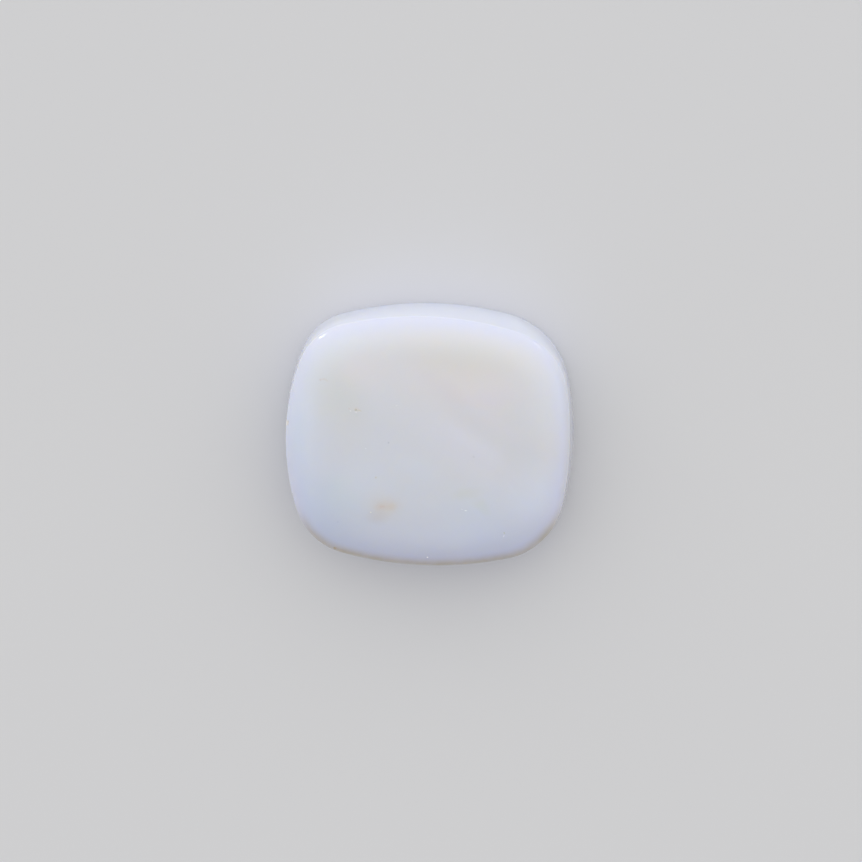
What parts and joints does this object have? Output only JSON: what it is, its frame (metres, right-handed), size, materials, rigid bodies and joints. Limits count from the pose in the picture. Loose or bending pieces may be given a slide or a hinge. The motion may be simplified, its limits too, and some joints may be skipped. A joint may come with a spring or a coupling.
{
  "type": "polished white opal cushion cabochon",
  "caption": "Loose milky white opal, polished as a low cushion cabochon: flat back, upright wall, rolled shoulder and a slightly domed face.",
  "frame": {"origin": "under the middle of the stone's outline, on the plane of its flat back", "axes": "+X along the stone's longer way, +Y along its shorter way, +Z out of its domed face"},
  "size_m": [0.014, 0.0126, 0.0042],
  "materials": {
    "white_opal": "polished, milky and slightly translucent"
  },
  "bodies": {
    "root": {"opal": "white_opal"}
  },
  "joints": []
}
